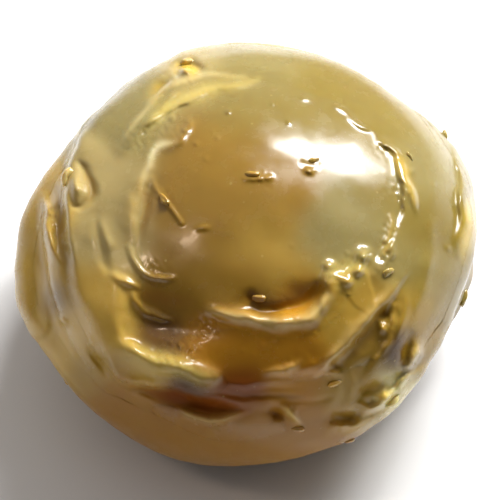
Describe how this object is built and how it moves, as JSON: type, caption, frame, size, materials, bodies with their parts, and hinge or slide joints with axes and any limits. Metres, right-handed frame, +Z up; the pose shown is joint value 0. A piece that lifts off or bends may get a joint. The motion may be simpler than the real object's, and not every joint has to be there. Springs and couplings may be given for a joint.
{
  "type": "rosin cake",
  "caption": "Soft lump of folded amber rosin: a smooth domed ball in a cup, wrapped by overlapping laps, ribbons and rolls, on a flat foot.",
  "frame": {"origin": "middle of the flat foot the lump rests on", "axes": "+Z up; the dome faces up and towards -Y; the long right flap is on the +X side"},
  "size_m": [0.0504, 0.0507, 0.0341],
  "materials": {
    "amber": "gloss, translucent",
    "cream": "gloss, milky",
    "honey": "gloss, translucent",
    "brown": "gloss, translucent",
    "yellow": "gloss, thin edges let light through",
    "crumb": "gloss, rough-edged"
  },
  "bodies": {
    "root": {"inner_gather": "amber", "cup_mass": "brown", "belly_roll": "brown", "back_roll": "brown", "back_sheet": "cream", "top_sheet": "cream", "top_right_sheet": "cream", "left_flap": "cream", "left_inner_ribbon": "honey", "right_flap": "yellow", "right_shoulder": "cream", "rim_roll": "honey", "crevice_lap": "honey", "under_lip": "brown", "swirl_band": "honey", "lower_band": "honey", "left_shell": "cream", "crest_ribbon": "yellow", "right_collar": "yellow", "lower_swirl": "honey", "crumbs": "crumb"}
  },
  "joints": []
}
